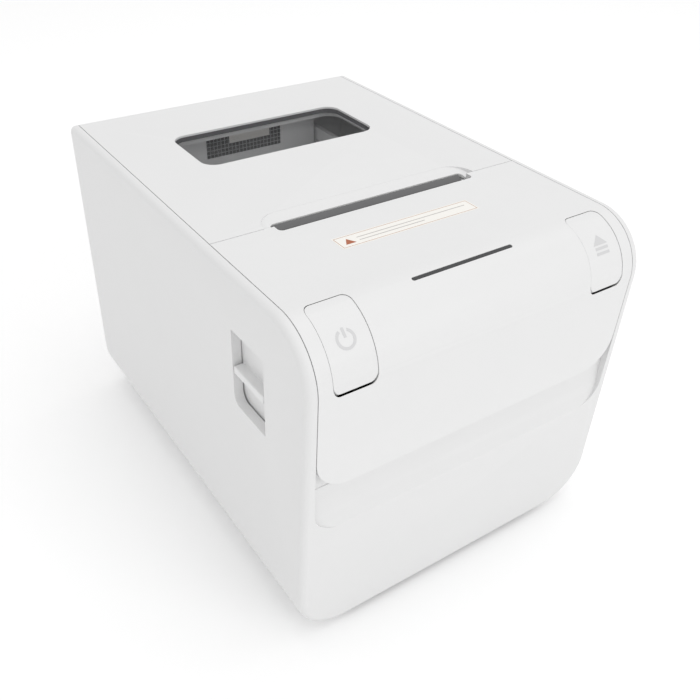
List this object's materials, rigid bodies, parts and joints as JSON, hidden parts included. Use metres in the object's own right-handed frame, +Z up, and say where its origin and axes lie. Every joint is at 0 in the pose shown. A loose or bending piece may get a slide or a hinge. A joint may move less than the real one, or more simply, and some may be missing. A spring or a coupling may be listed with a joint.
{
  "type": "receipt printer",
  "caption": "Thermal receipt printer with hinged paper lid, paper slot, cutter, sliding open lever, two buttons and rear sockets.",
  "frame": {"origin": "on the table under the middle of the case", "axes": "+Z up, -Y out of the front with the slot and buttons, +X to the right seen from the front"},
  "size_m": [0.141, 0.19, 0.1341],
  "materials": {
    "case_white": "fine satin texture",
    "cover_white": "fine satin texture",
    "dark_plastic": "matte",
    "grey_plastic": "matte",
    "smoke_window": "gloss, smoked",
    "light_lens": "gloss, dark",
    "paper_label": "paper",
    "black_rubber": "matte",
    "steel": "plain",
    "zinc_sheet": "zinc plated",
    "gear_plastic": "natural acetal",
    "brass": "plain",
    "alloy": "as extruded",
    "ceramic": "glazed ceramic",
    "board_green": "solder mask",
    "motor_can": "plated can"
  },
  "bodies": {
    "base": {"housing": "case_white", "base_plate": "grey_plastic", "rubber_feet": "black_rubber", "base_screws": "steel", "front_cover": "cover_white", "cover_screws": "steel", "light_bar": "light_lens", "notice_sticker": "paper_label", "key_board": "board_green", "key_screws": "steel", "key_switches": "dark_plastic", "hinge_pins": "steel", "mech_frame": "zinc_sheet", "frame_screws": "steel", "head_pin": "steel", "head_springs": "steel", "spring_bracket": "zinc_sheet", "feed_motor": "motor_can", "gear_studs": "steel", "cutter_frame": "zinc_sheet", "cutter_cover": "zinc_sheet", "cutter_motor": "motor_can", "lever_spring": "steel", "paper_bin": "grey_plastic", "bin_screws": "steel", "paper_sensor": "dark_plastic", "main_board": "board_green", "board_screws": "steel", "buzzer": "dark_plastic", "power_inlet": "dark_plastic", "usb_port": "steel", "network_port": "steel", "drawer_port": "dark_plastic"},
    "lid": {"rear_lid": "cover_white", "lid_window": "smoke_window", "lid_liner": "grey_plastic", "liner_screws": "steel", "liner_sticker": "paper_label", "fixed_blade": "steel", "platen_bushes": "gear_plastic"},
    "platen": {"platen_shaft": "steel", "platen_rubber": "black_rubber", "platen_gear": "gear_plastic"},
    "upper_idler_wheel": {"upper_idler": "gear_plastic"},
    "lower_idler_wheel": {"lower_idler": "gear_plastic"},
    "feed_drive": {"feed_pinion": "brass"},
    "head": {"print_head": "ceramic", "head_heatsink": "alloy"},
    "latch": {"latch_shaft": "grey_plastic"},
    "lever": {"open_lever": "cover_white"},
    "power_key": {"power_button": "cover_white"},
    "feed_key": {"feed_button": "cover_white"},
    "blade": {"moving_blade": "steel", "blade_carrier": "grey_plastic"},
    "cutter_drive": {"cutter_shaft": "steel"},
    "cutter_motor_drive": {"cutter_pinion": "brass"}
  },
  "joints": [
    {"name": "lid_hinge", "type": "hinge", "parent": "base", "child": "lid", "pos_m": [0, 0.0885, 0.1275], "axis": [-1, 0, 0], "range_deg": [0, 95]},
    {"name": "platen_spin", "type": "hinge", "parent": "lid", "child": "platen", "pos_m": [0, -0.019, 0.11], "axis": [1, 0, 0], "continuous": true},
    {"name": "upper_idler_spin", "type": "hinge", "parent": "base", "child": "upper_idler_wheel", "pos_m": [0, -0.01594, 0.09125], "axis": [1, 0, 0], "continuous": true},
    {"name": "lower_idler_spin", "type": "hinge", "parent": "base", "child": "lower_idler_wheel", "pos_m": [0, -0.02854, 0.07445], "axis": [1, 0, 0], "continuous": true},
    {"name": "feed_pinion_spin", "type": "hinge", "parent": "base", "child": "feed_drive", "pos_m": [0, -0.04354, 0.07445], "axis": [1, 0, 0], "continuous": true},
    {"name": "head_tilt", "type": "hinge", "parent": "base", "child": "head", "pos_m": [0, -0.02483, 0.09446], "axis": [1, 0, 0], "range_deg": [0, 1.5], "stiffness_Nm_per_rad": 2, "springref_deg": -2.86, "deforming": ["head_springs"]},
    {"name": "lever_slide", "type": "slide", "parent": "base", "child": "lever", "axis": [0, 0, -1], "range_m": [0, 0.006], "stiffness_N_per_m": 400, "springref_m": -0.003, "deforming": ["lever_spring"]},
    {"name": "latch_turn", "type": "hinge", "parent": "base", "child": "latch", "pos_m": [0, -0.034, 0.09], "axis": [1, 0, 0], "range_deg": [0, 14]},
    {"name": "power_press", "type": "hinge", "parent": "base", "child": "power_key", "pos_m": [0, -0.0756, 0.1308], "axis": [1, 0, 0], "range_deg": [0, 1.2], "stiffness_Nm_per_rad": 0.6, "springref_deg": -2.86},
    {"name": "feed_press", "type": "hinge", "parent": "base", "child": "feed_key", "pos_m": [0, -0.0756, 0.1308], "axis": [1, 0, 0], "range_deg": [0, 1.2], "stiffness_Nm_per_rad": 0.6, "springref_deg": -2.86},
    {"name": "blade_slide", "type": "slide", "parent": "base", "child": "blade", "axis": [0, 1, 0], "range_m": [0, 0.01]},
    {"name": "cutter_shaft_spin", "type": "hinge", "parent": "base", "child": "cutter_drive", "pos_m": [0, -0.05, 0.1125], "axis": [-1, 0, 0], "range_deg": [0, 96]},
    {"name": "cutter_pinion_spin", "type": "hinge", "parent": "base", "child": "cutter_motor_drive", "pos_m": [0, -0.05778, 0.10472], "axis": [1, 0, 0], "range_deg": [0, 115.5]}
  ],
  "couplings": [
    {"joint": "upper_idler_spin", "follows": "platen_spin", "ratio": -0.72727},
    {"joint": "lower_idler_spin", "follows": "platen_spin", "ratio": 0.8},
    {"joint": "feed_pinion_spin", "follows": "platen_spin", "ratio": -1.6},
    {"joint": "latch_turn", "follows": "lever_slide", "rad_per_m": 39.5},
    {"joint": "cutter_shaft_spin", "follows": "blade_slide", "rad_per_m": 166.67},
    {"joint": "cutter_pinion_spin", "follows": "blade_slide", "rad_per_m": 200}
  ]
}
